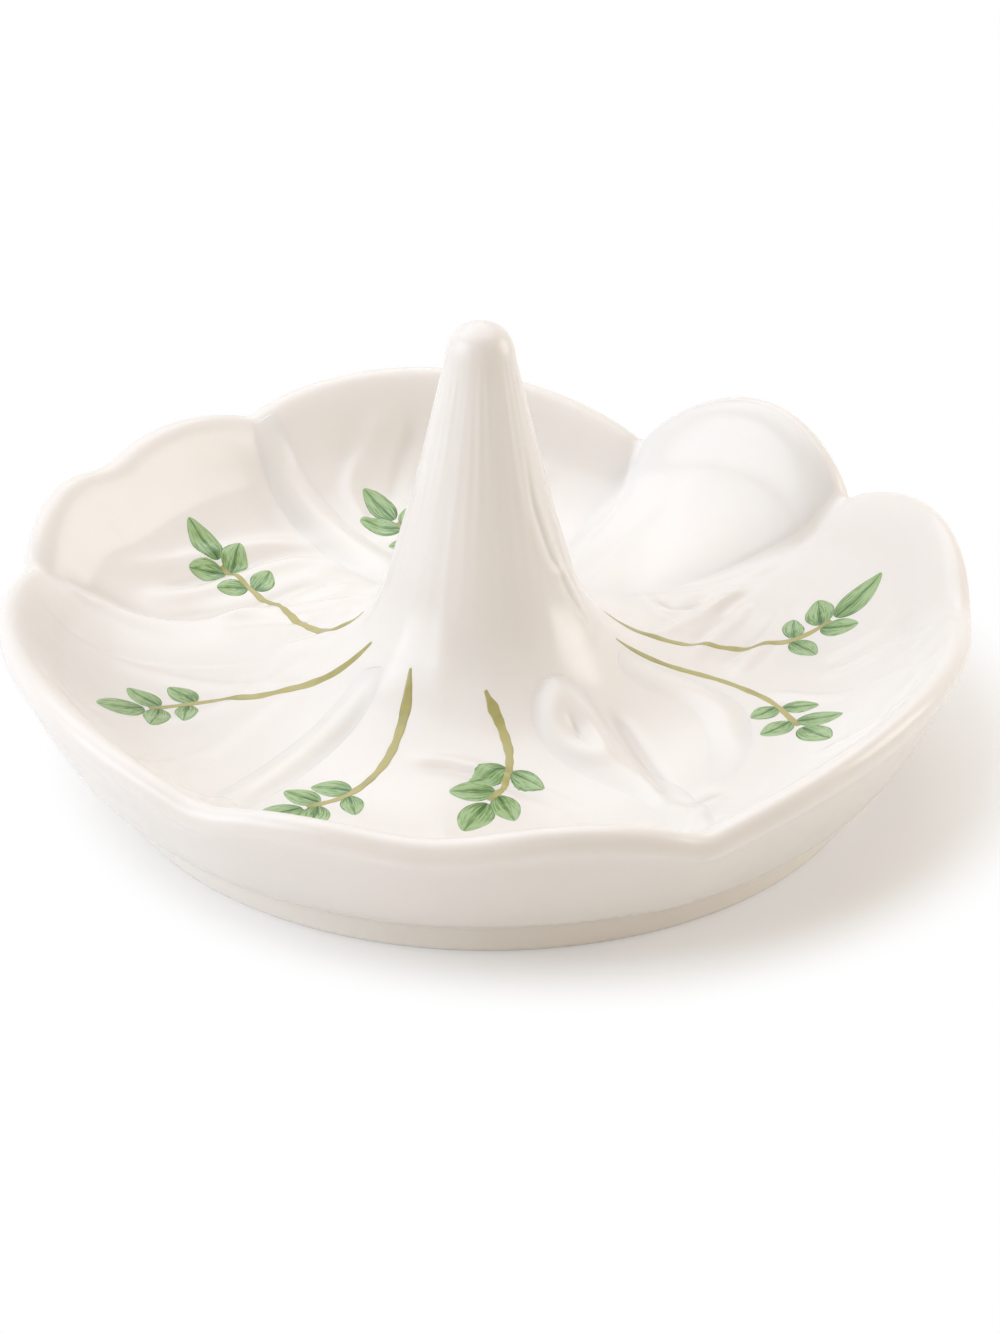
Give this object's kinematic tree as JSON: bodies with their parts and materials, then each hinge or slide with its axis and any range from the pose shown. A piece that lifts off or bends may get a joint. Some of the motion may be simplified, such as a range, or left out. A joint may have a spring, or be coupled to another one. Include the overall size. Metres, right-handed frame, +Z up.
{
  "type": "ring dish",
  "caption": "Leaf-edged porcelain saucer on a round foot, with a tall hollow cone in the middle that holds finger rings and a tray around it for small jewellery.",
  "frame": {"origin": "centre of the foot ring's resting face, which is also the centre of the box round the dish at its base", "axes": "+Z up along the cone, the pictured front toward -Y, +X to the picture's right"},
  "size_m": [0.1134, 0.1153, 0.055],
  "materials": {
    "porcelain": "thin glossy cream glaze over a fine white body",
    "foot_glaze": "the same cream glaze, wiped away on the resting face",
    "leaf_enamel": "hand-brushed green and olive enamel fired into the glaze"
  },
  "bodies": {
    "root": {"foot_ring": "foot_glaze", "dish": "porcelain", "ring_cone": "porcelain", "upright_leaf": "porcelain", "curled_bud": "porcelain", "front_stalk": "porcelain", "left_stalk": "porcelain", "back_rib": "porcelain", "right_root": "porcelain"}
  },
  "joints": []
}
